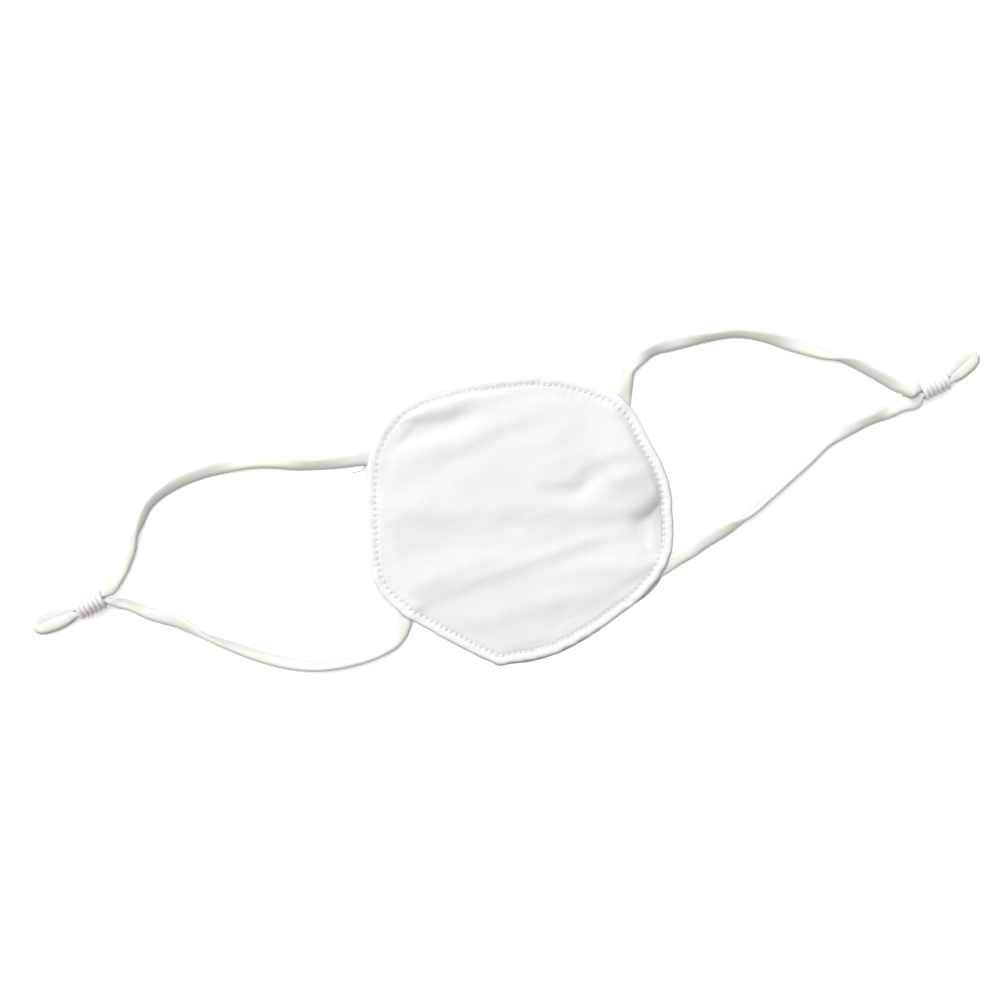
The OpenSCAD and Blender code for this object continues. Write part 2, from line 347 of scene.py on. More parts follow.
# Routes of the strands: (x, y, roll of the flat cord about its own line)
ROUTES = {
    "left_upper": [
        (-0.066, 0.0378, -22), (-0.078, 0.0394, -38), (-0.09, 0.0428, 22),
        (-0.102, 0.045, 26), (-0.114, 0.0454, -20), (-0.125, 0.0444, -30),
        (-0.1355, 0.0415, -44), (-0.1435, 0.037, -60), (-0.1495, 0.029, -78),
        (-0.1555, 0.0194, 20), (-0.162, 0.0106, 20),
    ],
    "left_lower": [
        (-0.161, -0.0002, -55), (-0.152, -0.006, -28), (-0.142, -0.0114, 16),
        (-0.133, -0.019, 80), (-0.1225, -0.0258, -56), (-0.112, -0.0322, -44),
        (-0.101, -0.0374, -38), (-0.089, -0.0408, -50), (-0.077, -0.0414, -50),
        (-0.066, -0.04, -42), (-0.058, -0.0368, -18),
    ],
    "right_upper": [
        (0.0558, 0.0496, -42), (0.065, 0.055, 38), (0.076, 0.0562, 10),
        (0.088, 0.056, 54), (0.101, 0.055, 60), (0.112, 0.051, 46),
        (0.123, 0.045, -6), (0.1335, 0.0392, -48), (0.143, 0.0344, 60),
        (0.152, 0.0272, 44), (0.16, 0.0206, 28),
    ],
    "right_lower": [
        (0.158, 0.0126, 30), (0.1475, 0.0106, -42), (0.137, 0.0084, -12),
        (0.127, 0.0052, 28), (0.1175, -0.001, 50), (0.1085, -0.0064, 60),
        (0.0995, -0.012, 76), (0.09, -0.0172, 84), (0.08, -0.0208, -26),
        (0.0705, -0.024, -12), (0.063, -0.027, 0),
    ],
}

# Adjusters: (heading out to the tail, side of the upper strand)
ADJUSTERS = {"left": (194, -1), "right": (14.5, 1)}
ADJUSTER_LENGTH = 0.0115
LIT_SIDE = unit(110)
MOUTH_REACH = ADJUSTER_LENGTH / 2 + 0.0002
IN_SLEEVE = np.linspace(-MOUTH_REACH, MOUTH_REACH, 5)
STRAND_OFFSET = 0.00118
STRAND_HALF = (0.00118, 0.0019)
# Tails: heading, length from the adjuster to the tip, radius of the turn, how far the lower
# strand lies over the upper, and the strands' rings:
# (place along, sideways, half width, half thickness of the upper strand, of the lower)
TAILS = {
    "left": (189.3, 0.02, 0.0022, 0.0007, [
        (0.0018, 0.0016, 0.0019, 0.0016, 0.0018), (0.0052, 0.0022, 0.0024, 0.0012, 0.0018),
        (0.011, 0.0025, 0.0027, 0.0011, 0.0017)]),
    "right": (28, 0.0168, 0.0019, 0.0005, [
        (0.0016, 0.0015, 0.0018, 0.0015, 0.0015), (0.0045, 0.002, 0.0023, 0.0012, 0.0012),
        (0.009, 0.0022, 0.0025, 0.0011, 0.0012)]),
}
TAIL_HALF_W = 0.0025
TAIL_LIFTS = (0.0030, 0.0018, 0)
# Where each strand runs into its adjuster:
# (distance from the mouth, height, half width, half thickness)
SHOULDERS = {
    "left_upper": (0.002, 0.0042, 0.0026, 0.0014),
    "left_lower": (0.0026, 0.0044, 0.0015, 0.0015),
    "right_upper": (0.0016, 0.005, 0.0028, 0.0015),
    "right_lower": (0.0014, 0.0032, 0.0029, 0.0014),
}


def mark(i):
    turns, k = divmod(i, len(EDGE_MARKS))
    return EDGE_MARKS[k][0] + 360 * turns, EDGE_MARKS[k][1]


def mark_slope(i):
    after, before = mark(i + 1), mark(i - 1)
    return (after[1] - before[1]) / (after[0] - before[0])


def edge_ratio(angle):
    """The outline's radius at an angle, smooth through the marks."""
    w = angle % 360
    i = sum(1 for m in EDGE_MARKS if m[0] <= w) - 1
    p, q = mark(i), mark(i + 1)
    gap = q[0] - p[0]
    return hermite((w - p[0]) / gap, gap, p[1], q[1], mark_slope(i), mark_slope(i + 1))


def edge_point(angle, inset=0.0):
    return (HALF_WIDTH * edge_ratio(angle) - inset) * unit(angle)


def lay_height(roll):
    """Height of a flat cord's middle when it lies on the floor with that roll."""
    r = math.radians(roll)
    return math.hypot(CORD_W / 2 * math.sin(r), CORD_T / 2 * math.cos(r))


def ring(xy, z, half_w, half_t, roll=0.0):
    return {"p": np.array([xy[0], xy[1], z]), "size": (half_w, half_t), "roll": roll}


def root_rings(name):
    """From inside the hem to the free root, heading out."""
    angle, heading, free = EXITS[name]
    start, away = edge_point(angle), unit(heading)
    flat = (SEWN_W / 2, SEWN_T / 2)
    return [ring(start + s * away, ROOT_Z, *flat) for s in (-SEWN_LENGTH, -SEWN_LENGTH / 2, 0)] + [
        ring(start + (free + ROOT_GAP) * away, *FREE_ROOT)]


def strand_rings(route):
    return [ring((x, y), lay_height(roll), CORD_W / 2, CORD_T / 2, roll) for x, y, roll in route]


def adjuster_place(side):
    """Middle, heading and upper-strand side of an adjuster, from its CAD node."""
    low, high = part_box(f"{side}_adjuster")
    middle = np.array([(a + b) / 2 for a, b in zip(low, high)])
    return middle, *ADJUSTERS[side]


def mouth_ring(side, along, strand):
    middle, heading, upper = adjuster_place(side)
    out = unit(heading)
    across = np.array([-out[1], out[0]])
    p = middle[:2] + along * out + strand * upper * STRAND_OFFSET * across
    return ring(p, middle[2], *STRAND_HALF)


def shoulder_ring(name, next_xy):
    """The strand just outside its adjuster's mouth, on its way to the next point of its route."""
    side, level = name.split("_")
    mouth = mouth_ring(side, -MOUTH_REACH, 1 if level == "upper" else -1)
    distance, height, half_w, half_t = SHOULDERS[name]
    way = np.array(next_xy) - mouth["p"][:2]
    return ring(mouth["p"][:2] + distance * way / np.linalg.norm(way), height, half_w, half_t)


def tail_rings(side):
    """From the upper strand round the tip of the tail loop to the lower strand."""
    middle, heading, upper = adjuster_place(side)
    tail, length, turn, over, legs = TAILS[side]
    start = middle[:2] + ADJUSTER_LENGTH / 2 * unit(heading)
    out = unit(tail)
    across = upper * np.array([-out[1], out[0]])
    turn_at = length - turn - TAIL_HALF_W
    rings = [ring(start + s * out + w * across, max(z, top), half, top)
             for (s, w, half, top, _), z in zip(legs, TAIL_LIFTS)]
    top, under = legs[-1][3:]
    for a in (90, 45, 0, -45, -90):
        share = (90 - a) / 180
        p = start + turn_at * out + turn * (unit(a)[0] * out + unit(a)[1] * across)
        thick = top + (under - top) * share
        rings.append(ring(p + over * share * across, thick, TAIL_HALF_W, thick))
    rings += [ring(start + s * out - (w - over) * across, max(z, low), half, low)
              for (s, w, half, _, low), z in reversed(list(zip(legs, TAIL_LIFTS)))]
    return rings


def whole_cord(side):
    """Guide rings of one ear cord, from one sewn-in end to the other."""
    upper, lower = ROUTES[f"{side}_upper"], ROUTES[f"{side}_lower"]
    return (root_rings(f"{side}_upper") + strand_rings(upper)
            + [shoulder_ring(f"{side}_upper", upper[-1][:2])]
            + [mouth_ring(side, s, 1) for s in IN_SLEEVE]
            + tail_rings(side)
            + [mouth_ring(side, s, -1) for s in IN_SLEEVE[::-1]]
            + [shoulder_ring(f"{side}_lower", lower[0][:2])]
            + strand_rings(lower) + root_rings(f"{side}_lower")[::-1])


def through(values, t, cuts):
    """Hermite curve through rows of values at the places t, sampled at cuts."""
    values, t = np.asarray(values, float), np.asarray(t, float)
    slope = np.gradient(values, t, axis=0)
    i = np.clip(np.searchsorted(t, cuts, side="right") - 1, 0, len(t) - 2)
    gap = (t[i + 1] - t[i])[:, None]
    u = ((cuts - t[i]) / (t[i + 1] - t[i]))[:, None]
    return hermite(u, gap, values[i], values[i + 1], slope[i], slope[i + 1])


def fine_rings(guides):
    """Rings every RING_STEP along a smooth line through the guide rings."""
    p = np.array([g["p"] for g in guides])
    t = arc_lengths(p)
    cuts = np.linspace(0, t[-1], int(t[-1] / RING_STEP) + 1)
    line = through(p, t, cuts)
    # the ribbon is the same upside down, so each roll takes the shorter way from the one before
    rolls = np.unwrap([2 * math.radians(g["roll"]) for g in guides]) / 2
    shape = through([[*g["size"], roll] for g, roll in zip(guides, rolls)], t, cuts)
    return line, shape


def tube(line, shape):
    """Points of a flat soft tube along a line: one row of CORD_SIDES points per ring."""
    step = np.gradient(line, axis=0)
    heading = np.arctan2(step[:, 1], step[:, 0])
    a = np.linspace(0, 2 * math.pi, CORD_SIDES, endpoint=False)
    ca = np.sign(np.cos(a)) * np.abs(np.cos(a)) ** CORD_SOFTNESS
    sa = np.sign(np.sin(a)) * np.abs(np.sin(a)) ** CORD_SOFTNESS
    wide, thick = shape[:, :1] * ca, shape[:, 1:2] * sa
    roll = shape[:, 2:3]
    across = wide * np.cos(roll) - thick * np.sin(roll)
    up = wide * np.sin(roll) + thick * np.cos(roll)
    h = heading[:, None]
    points = np.stack([line[:, :1] - across * np.sin(h), line[:, 1:2] + across * np.cos(h),
                       line[:, 2:] + up], axis=2)
    points[:, :, 2] = np.maximum(points[:, :, 2], CORD_FLOOR_GAP)
    return points


def tube_normals(points):
    along = np.gradient(points, axis=0)
    around = np.roll(points, -1, axis=1) - np.roll(points, 1, axis=1)
    n = np.cross(around, along)
    n /= np.linalg.norm(n, axis=2, keepdims=True) + 1e-12
    outward = points - points.mean(axis=1, keepdims=True)
    n *= np.sign((n * outward).sum(axis=2).mean())
    return n


# Painted shade on the cords: strength at the tilted edges and in the band on the side away from the
# light, the share of the edge shade lost where strands press together, and the darkest tone.
EDGE_PAINTED_SHADE = 0.36
SIDE_PAINTED_SHADE = 0.5
PRESSED_LOSS = 0.6
DARKEST = 0.22
CAP_TONE = 0.6
TAIL_FADE = 0.003
MOUTH_FADE = 0.0035


def painted_cord_shade(line, points, normals, pressed, shaded):
    """Lightness of the knit as painted shade: darker where its surface tilts away from facing up,
    most at the cord's edges, and a painted shaded band along the side away from the light.

    pressed, where strands touch each other, and shaded, how strong the dark side is, have one
    share per ring."""
    up = normals[:, :, 2]
    away = -(normals[:, :, :2] @ LIT_SIDE)
    grey = (EDGE_PAINTED_SHADE * smooth((0.95 - up) / 0.45) * (1 - 0.75 * smooth(away / 0.4))
            + EDGE_PAINTED_SHADE * smooth((0.5 - up) / 0.35))
    step = np.gradient(line[:, :2], axis=0)
    across = np.abs(step[:, 0] * LIT_SIDE[1] - step[:, 1] * LIT_SIDE[0])
    across /= np.linalg.norm(step, axis=1)
    side = (line[:, None, :2] - points[:, :, :2]) @ LIT_SIDE
    side /= np.abs(side).max(axis=1, keepdims=True)
    band = SIDE_PAINTED_SHADE * smooth((side - 0.25) / 0.75) * smooth(across / 0.5)[:, None]
    grey = grey * (1 - PRESSED_LOSS * pressed[:, None])
    return np.clip(1 - grey - band * shaded[:, None], DARKEST, 1)


def tube_piece(name, points, normals, tones, arc, cap=None):
    """One stretch of a cord as a mesh, closed at its first or last ring, the cap; its knit runs on
    from its neighbours."""
    rows, columns = points.shape[:2]
    seam, seam_normals, seam_tones = (np.concatenate([a, a[:, :1]], axis=1)
                                      for a in (points, normals, tones))
    wide = columns + 1
    faces = grid_faces(rows, wide, closed=False)
    flat = [tuple(p) for p in seam.reshape(-1, 3)]
    tone = list(seam_tones.ravel())
    uv = [(s, k / columns) for s in arc for k in range(wide)]
    normal_list = [tuple(n) for n in seam_normals.reshape(-1, 3)]
    if cap is not None:
        row = cap % rows
        start = len(flat)
        middle = points[row].mean(axis=0)
        away = middle - points[1 if row == 0 else rows - 2].mean(axis=0)
        away /= np.linalg.norm(away)
        flat.append(tuple(middle))
        uv.append((arc[row], 0.5))
        tone.append(CAP_TONE)
        normal_list.append(tuple(away))
        for k in range(columns):
            a, b = row * wide + k, row * wide + (k + 1) % columns
            faces.append((start, b, a) if row == 0 else (start, a, b))
    obj = new_object(name, flat, faces, CORD, uv, tone)
    obj.data.normals_split_custom_set_from_vertices(normal_list)
    return obj


def make_ear_cord(side):
    line, shape = fine_rings(whole_cord(side))
    points = tube(line, shape)
    normals = tube_normals(points)
    middle, heading, _ = adjuster_place(side)
    beyond = (line[:, :2] - middle[:2]) @ unit(heading) - ADJUSTER_LENGTH / 2
    in_tail = smooth(beyond / TAIL_FADE)
    at_mouth = hill(beyond + ADJUSTER_LENGTH, MOUTH_FADE)
    upper_strand = np.arange(len(line)) < np.argmax(beyond)
    # Painted shade: the dark band is weaker on the upper strand in the tail and at the inner mouth,
    # and stronger on the lower strand in the tail.
    shaded = np.where(upper_strand, (1 - 0.6 * in_tail) * (1 - 0.6 * at_mouth), 1 + 0.8 * in_tail)
    tones = painted_cord_shade(line, points, normals, np.maximum(in_tail, at_mouth), shaded)
    arc = arc_lengths(line)
    first = int(np.searchsorted(arc, SEWN_LENGTH + ROOT_LENGTH))
    last = len(arc) - 1 - first
    pieces = []
    for name, a, b, cap in (("upper_cord_root", 0, first, 0),
                            ("ear_cord_strands", first, last, None),
                            ("lower_cord_root", last, len(arc) - 1, -1)):
        part = slice(a, b + 1)
        pieces.append(tube_piece(f"{side}_{name}", points[part], normals[part], tones[part],
                                 arc[part], cap))
    upper, strands, lower = pieces
    for root, level in ((upper, "upper"), (lower, "lower")):
        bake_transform(root)
        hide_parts(f"{side}_{level}_cord_end")
    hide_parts(f"{side}_ear_cord")
    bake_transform(strands)
    make_adjuster(side)


# ---- panel (in millimetres)

STITCHES = 148
STITCH_INSET = 3.8
CLOTH_T = 0.35
TURN_IN = 8.5
SEAM_ENDS = sorted(angle for angle, _, _ in EXITS.values())
SEAM_ENDS = [a + 4 for a in SEAM_ENDS] + [SEAM_ENDS[0] + 356]
RIM_DEPTH = 12.0
CORE_RISE = 0.45
# Painted shade along the fold on the side away from the light:
EDGE_SHADE = (0.65, 0.8)  # share of the tone lost at the fold, reach
CORD_LIFT = (0.62, 4.2)  # height, half width in degrees

# Cross-sections from the turned-in end round the folded edge and in to RIM_DEPTH:
# (inset from the outline, height, share of the surface relief, tone)
# The tone is lighter over the hem, and painted shade makes it a little lower at the stitches,
# darker on the turned-in part and darkest along the folded edge.
FRONT_SECTION = [
    (TURN_IN, 1.72, 0, 0.5), (7.0, 1.7, 0, 0.5), (5.2, 1.64, 0, 0.5), (3.8, 1.45, 0, 0.5),
    (2.6, 1.52, 0, 0.5), (1.6, 1.38, 0, 0.5), (0.9, 1.22, 0, 0.4), (0.45, 1.12, 0, 0.3),
    (0.16, 1.14, 0, 0.2), (0.03, 1.3, 0, 0.1), (0.0, 1.5, 0, 0.1), (0.05, 1.72, 0.1, 0.3),
    (0.18, 1.92, 0.2, 0.6), (0.4, 2.1, 0.4, 0.85), (0.7, 2.23, 0.7, 0.98), (1.1, 2.33, 1, 1),
    (1.6, 2.38, 1, 1), (2.1, 2.38, 1, 1), (2.6, 2.34, 1, 0.97), (3.0, 2.28, 1, 0.93),
    (3.35, 2.2, 1, 0.89), (3.6, 2.14, 1, 0.85), (3.8, 2.12, 1, 0.83), (4.0, 2.14, 1, 0.83),
    (4.3, 2.2, 1, 0.84), (4.7, 2.27, 1, 0.85), (5.2, 2.35, 1, 0.86), (5.8, 2.43, 1, 0.86),
    (6.5, 2.52, 1, 0.86), (7.3, 2.62, 1, 0.86), (8.2, 2.73, 1, 0.86), (9.2, 2.84, 1, 0.86),
    (10.4, 2.96, 1, 0.86), (RIM_DEPTH, 3.1, 1, 0.86),
]
# Painted shade makes the back's tone darker along its folded edge and on its turned-in part.
BACK_SECTION = [
    (TURN_IN, 0.5, 0, 0.6), (6.5, 0.52, 0, 0.6), (4.5, 0.58, 0, 0.6), (2.6, 0.62, 0, 0.6),
    (1.4, 0.8, 0, 0.55), (0.7, 0.94, 0, 0.5), (0.35, 1.0, 0, 0.45), (0.1, 0.98, 0, 0.3),
    (0.0, 0.84, 0, 0.2), (0.0, 0.66, 0, 0.2), (0.06, 0.44, 0, 0.3), (0.2, 0.26, 0, 0.6),
    (0.5, 0.12, 0, 0.9), (1.2, 0.06, 1, 1), (2.2, 0.07, 1, 1), (3.0, 0.14, 1, 0.95),
    (3.8, 0.34, 1, 0.85), (4.6, 0.14, 1, 0.9), (6.0, 0.07, 1, 0.9), (9.0, 0.05, 1, 0.9),
    (RIM_DEPTH, 0.05, 1, 0.9),
]

# What the front rests on: (insets, heights that its own surface stays above)
LAYERS_TOP = ((4.2, 5.2, 7.0, 8.8, 10.4), (2.0, 2.3, 2.38, 2.4, 1.86))

# Soft creases of the front: half width, drop away from the lit side (a lit slope when negative),
# line
CREASES = [
    (4.6, 1.6, [(-42.3, 46.5), (-31.2, 47.1), (-18.2, 47.6), (-8.6, 49.6)]),
    (3.8, 0.42, [(-16.4, 47.3), (-1.4, 48.9), (13.4, 49.4)]),
    (4.2, 0.52, [(-31.2, 29.5), (-18.8, 31.8), (-2.2, 36.5), (16.6, 39.0)]),
    (3.6, 0.6, [(8.7, 12.9), (18.2, 10.6), (25.6, 8.7), (33.2, 11.0)]),
    (4.2, 0.66, [(20.4, 10.3), (30.8, 14.2), (41.7, 17.1), (52.0, 16.9)]),
    (7.6, 2.6, [(43.5, -9.2), (52.1, -7.6), (62.5, -3.4)]),
    (4.4, 0.45, [(34.0, 5.3), (44.7, 7.0), (54.4, 9.5)]),
    (4.4, 0.5, [(30.0, -4.0), (43.4, -7.0), (53.2, -9.2)]),
    (7.5, 0.95, [(-50.4, 8.3), (-26.9, 6.6), (-3.9, 3.0), (14.1, 1.0)]),
    (5.5, 0.45, [(-54.8, -3.6), (-43.0, -1.3), (-30.5, -1.5)]),
    (3.8, 0.56, [(-49.8, -27.6), (-37.0, -24.2), (-22.2, -20.9), (-5.7, -18.7), (12.1, -16.4),
                 (34.7, -14.2), (53.7, -14.3)]),
    (3.6, 0.26, [(-26.8, -5.9), (-15.1, -6.4), (-3.7, -5.0)]),
    (6.5, 0.95, [(-33.7, -39.0), (-12.4, -37.4), (4.1, -36.6), (21.2, -34.5)]),
    (3.8, 1.05, [(-22.6, -50.8), (-9.9, -51.0), (6.1, -49.3)]),
    (3.8, 0.4, [(30.6, -33.7), (40.0, -32.6), (48.0, -29.5)]),
    (3.4, 0.28, [(1.1, -3.2), (8.3, -0.9), (16.8, 0.6)]),
    (7.0, -0.6, [(-55.7, 22.2), (-40.5, 20.5), (-25.9, 20.3), (-10.3, 24.3)]),
    (6.5, -0.3, [(-14.2, 23.3), (1.1, 26.3), (16.3, 28.9), (30.6, 35.4)]),
    (5.5, -0.4, [(-59.3, -24.7), (-48.3, -16.0), (-36.2, -11.3)]),
    (5.0, -0.35, [(10.5, -24.5), (33.0, -22.3), (48.9, -25.0)]),
]
# Hollows: (x, y, reach, reach across, angle of the long side, depth)
HOLLOWS = [
    (57.0, -9.5, 6.0, 3.6, 80, 0.7),
    (-30.0, 45.0, 11.0, 4.5, 10, 0.4),
]
# Painted shade where the cloth lies deep between folds: the same, with the share of the tone lost
SHADES = [
    (56.0, -7.0, 5.5, 6.5, 0, 0.27),
    (46.5, 2.0, 10.0, 9.0, 0, 0.15),
]


def oval(x, y, x0, y0, reach, reach_across, turn, depth):
    c, s = unit(turn)
    u, v = (x - x0) * c + (y - y0) * s, (y - y0) * c - (x - x0) * s
    return depth * hill(u, reach) * hill(v, reach_across)


# Painted shade deep between folds, as a share of the tone lost.
def shade(x, y):
    total = 0.0
    for spot in SHADES:
        total = total + oval(x, y, *spot)
    return total


def interp_ring(values, degrees):
    """Smooth periodic interpolation of one value per stitch."""
    x = np.asarray(degrees) / 360 * STITCHES
    k = np.floor(x).astype(int)
    t = smooth(x - k)
    return values[k % STITCHES] * (1 - t) + values[(k + 1) % STITCHES] * t


def ring_noise(seed, orders, degrees):
    """Irregular waves round the outline, between about -1 and 1."""
    dice = np.random.default_rng(seed)
    total = np.zeros(np.shape(degrees))
    for n in orders:
        total = total + np.cos(np.radians(degrees) * n + dice.uniform(0, 2 * math.pi))
    return total / math.sqrt(len(orders))


def around(degrees, middle, width):
    """A hill on the outline, at an angle."""
    away = (np.asarray(degrees) - middle + 180) % 360 - 180
    return hill(away, width)


PUCKER = np.random.default_rng(5).uniform(0.35, 1.5, STITCHES)
SKEW = np.random.default_rng(6).uniform(-0.25, 0.25, STITCHES)
PUCKER_REACH = ((0.5, 2.2, 3.8, 5.2, 7.5, 10.5), (0, 0.06, 0.08, 0.06, 0.025, 0))
NEEDLE_HOLE = (0.26, 0.5)  # depth, radius
WRINKLES = 46


def wrinkles(inset, degrees):
    """Short gathers that run in from the stitches."""
    dice = np.random.default_rng(11)
    total = 0.0
    for _ in range(WRINKLES):
        at, lean = dice.uniform(0, 360), dice.uniform(-0.5, 0.5)
        wide, reach = dice.uniform(1.1, 2.2), dice.uniform(4, 11)
        high = dice.uniform(-0.07, 0.04)
        run = smooth((inset - 4.0) / 1.5) * (1 - smooth((inset - 4.5 - 0.3 * reach) / reach))
        total = total + high * run * around(degrees, at + lean * (inset - 4), wide)
    return total


def puckers(inset, degrees):
    """Ladder of small gathers at the stitches, with a dimple at each needle hole."""
    lean = interp_ring(SKEW, degrees) * (inset - STITCH_INSET)
    phase = np.radians(degrees * STITCHES) + lean
    at_hole = 0.5 - 0.5 * np.cos(phase)
    reach = np.interp(inset, *PUCKER_REACH)
    dimple = NEEDLE_HOLE[0] * hill(inset - STITCH_INSET, NEEDLE_HOLE[1]) * at_hole ** 4
    return -interp_ring(PUCKER, degrees) * reach * at_hole - dimple


# Cloth simulation of the front's slack: grid points each side of the middle, their distance,
# simulation units per millimetre, direction of the creases, cloth per room across them
SLACK_HALF = 35
SLACK_STEP = 2.0
SLACK_SCALE = 0.01
SLACK_TURN = 9
SLACK_GROWTH = 1.035
SLACK_FRAMES = 24
SLACK_HOLD = 0.8
# The result is strengthened by this share and kept within a limit
SLACK_SHARE = 2.5
SLACK_LIMIT = 0.9
SLACK_CLOTH = {
    "quality": 8, "mass": 0.05, "tension_stiffness": 25, "compression_stiffness": 25,
    "shear_stiffness": 8, "bending_stiffness": 0.4, "air_damping": 4,
    "use_pressure": True, "uniform_pressure_force": 0.003,
}


def slack_grid():
    """Heights that the front's slack settles into, from a short cloth simulation.

    The cloth starts with the soft creases in it, is held at the stitches, and is SLACK_GROWTH
    longer across the creases than its room. Returns one height per point of a square grid."""
    axis = np.arange(-SLACK_HALF, SLACK_HALF + 1) * SLACK_STEP
    x, y = np.meshgrid(axis, axis)
    degrees = np.degrees(np.arctan2(y, x))
    outline = np.array([edge_ratio(a) for a in degrees.ravel()]).reshape(x.shape) * HALF_WIDTH / MM
    inset = outline - np.hypot(x, y)
    start = smooth((inset - STITCH_INSET) / 4.5) * creases(x, y)
    wide = len(axis)
    kept = (inset > 1.0).ravel()
    faces = [f for f in grid_faces(wide, wide, closed=False) if all(kept[list(f)])]
    used = sorted({v for f in faces for v in f})
    place = {v: i for i, v in enumerate(used)}
    flat = np.stack([x.ravel(), y.ravel(), start.ravel()], axis=1)[used] * SLACK_SCALE
    mesh = bpy.data.meshes.new("slack")
    mesh.from_pydata([tuple(p) for p in flat], [], [tuple(place[v] for v in f) for f in faces])
    sheet = placed("slack", mesh)
    held = sheet.vertex_groups.new(name="held")
    held.add([place[v] for v in used if inset.ravel()[v] < STITCH_INSET + SLACK_HOLD],
             1.0, "REPLACE")
    sheet.shape_key_add(name="Basis")
    longer = sheet.shape_key_add(name="longer")
    c, s = unit(SLACK_TURN + 90)
    along = flat[:, 0] * c + flat[:, 1] * s
    grown = flat + (SLACK_GROWTH - 1) * along[:, None] * np.array([c, s, 0])
    longer.data.foreach_set("co", grown.ravel())
    cloth = sheet.modifiers.new("cloth", "CLOTH")
    for key, value in SLACK_CLOTH.items():
        setattr(cloth.settings, key, value)
    cloth.settings.vertex_group_mass = "held"
    cloth.settings.rest_shape_key = longer
    cloth.settings.effector_weights.gravity = 0
    cloth.point_cache.frame_start = 1
    cloth.point_cache.frame_end = SLACK_FRAMES
    for frame_number in range(1, SLACK_FRAMES + 1):
        bpy.context.scene.frame_set(frame_number)
    settled = sheet.evaluated_get(bpy.context.evaluated_depsgraph_get()).data
    moved = np.empty(len(settled.vertices) * 3)
    settled.vertices.foreach_get("co", moved)
    rise = moved.reshape(-1, 3)[:, 2] / SLACK_SCALE - start.ravel()[used]
    bpy.context.scene.frame_set(1)
    bpy.data.objects.remove(sheet)
    bpy.data.meshes.remove(mesh)
    heights = np.zeros(wide * wide)
    heights[used] = SLACK_LIMIT * np.tanh(SLACK_SHARE * rise / SLACK_LIMIT)
    heights = heights.reshape(wide, wide)
    for _ in range(2):
        heights = (2 * heights + np.roll(heights, 1, 0) + np.roll(heights, -1, 0)) / 4
        heights = (2 * heights + np.roll(heights, 1, 1) + np.roll(heights, -1, 1)) / 4
    return heights


def slack(x, y):
    """The simulated slack at a place, smoothly through the grid's points."""
    u, v = np.asarray(x) / SLACK_STEP + SLACK_HALF, np.asarray(y) / SLACK_STEP + SLACK_HALF
    i, j = np.floor(u).astype(int), np.floor(v).astype(int)
    total = 0.0
    for a, wa in enumerate(spline_weights(u - i)):
        for b, wb in enumerate(spline_weights(v - j)):
            column = np.clip(i + a - 1, 0, 2 * SLACK_HALF)
            row = np.clip(j + b - 1, 0, 2 * SLACK_HALF)
            total = total + wa * wb * SLACK[row, column]
    return total


def spline_weights(t):
    return ((1 - t) ** 3 / 6, (3 * t**3 - 6 * t**2 + 4) / 6, (-3 * t**3 + 3 * t**2 + 3 * t + 1) / 6,
            t**3 / 6)


def creases(x, y):
    total = 0.0
    for wide, drop, line in CREASES:
        line = np.array(line, float)
        along = line[-1] - line[0]
        length = math.hypot(*along)
        along /= length
        up = np.array([-along[1], along[0]])
        up *= math.copysign(1, up @ LIT_SIDE)
        u = (x - line[0, 0]) * along[0] + (y - line[0, 1]) * along[1]
        v = (x - line[0, 0]) * up[0] + (y - line[0, 1]) * up[1]
        v = (v - np.interp(u, (line - line[0]) @ along, (line - line[0]) @ up)) / wide
        v = v / (1 + 1.2 * smooth(v / 1.5))
        taper = smooth(u / (0.5 * length) + 0.35) * smooth((length - u) / (0.5 * length) + 0.35)
        total = total + drop * taper * v * np.exp(0.5 - 0.5 * v * v)
    for spot in HOLLOWS:
        total = total - oval(x, y, *spot)
    return total


def cord_bulge(inset, degrees):
    """How far the front is lifted over the cord ends sewn into the hem."""
    total = 0.0
    for angle, _, _ in EXITS.values():
        total = total + CORD_LIFT[0] * around(degrees, angle, CORD_LIFT[1])
    return total * (1 - smooth((inset - 5) / 5))


def front_relief(inset, degrees, x, y):
    inner = smooth((inset - STITCH_INSET + 0.2) / 3.2)
    loose = smooth((inset - STITCH_INSET) / 8)
    hem = hill(inset - 1.8, 1.3)
    wave = (0.10 * ring_noise(21, range(19, 60, 3), degrees)
            + 0.12 * ring_noise(22, range(3, 12), degrees))
    return (puckers(inset, degrees) + wrinkles(inset, degrees) + hem * wave
            + inner * creases(x, y) + loose * slack(x, y))


def back_relief(inset, degrees, x, y):
    return -0.5 * puckers(inset, degrees) * (inset < 7)


def front_shift(degrees):
    return 0.10 * ring_noise(31, range(14, 70, 5), degrees)


def back_shift(degrees):
    """The back's edge shows past the front's along the lower right."""
    return (-1.25 * around(degrees, 322, 7) - 0.6 * around(degrees, 268, 45)
            + 0.2 + 0.06 * ring_noise(33, range(14, 60, 5), degrees))


def round_outline(degrees):
    """The outline's radius, and the cosine and sine of each angle."""
    radii = np.array([HALF_WIDTH / MM * edge_ratio(a) for a in degrees])
    return radii, np.cos(np.radians(degrees)), np.sin(np.radians(degrees))


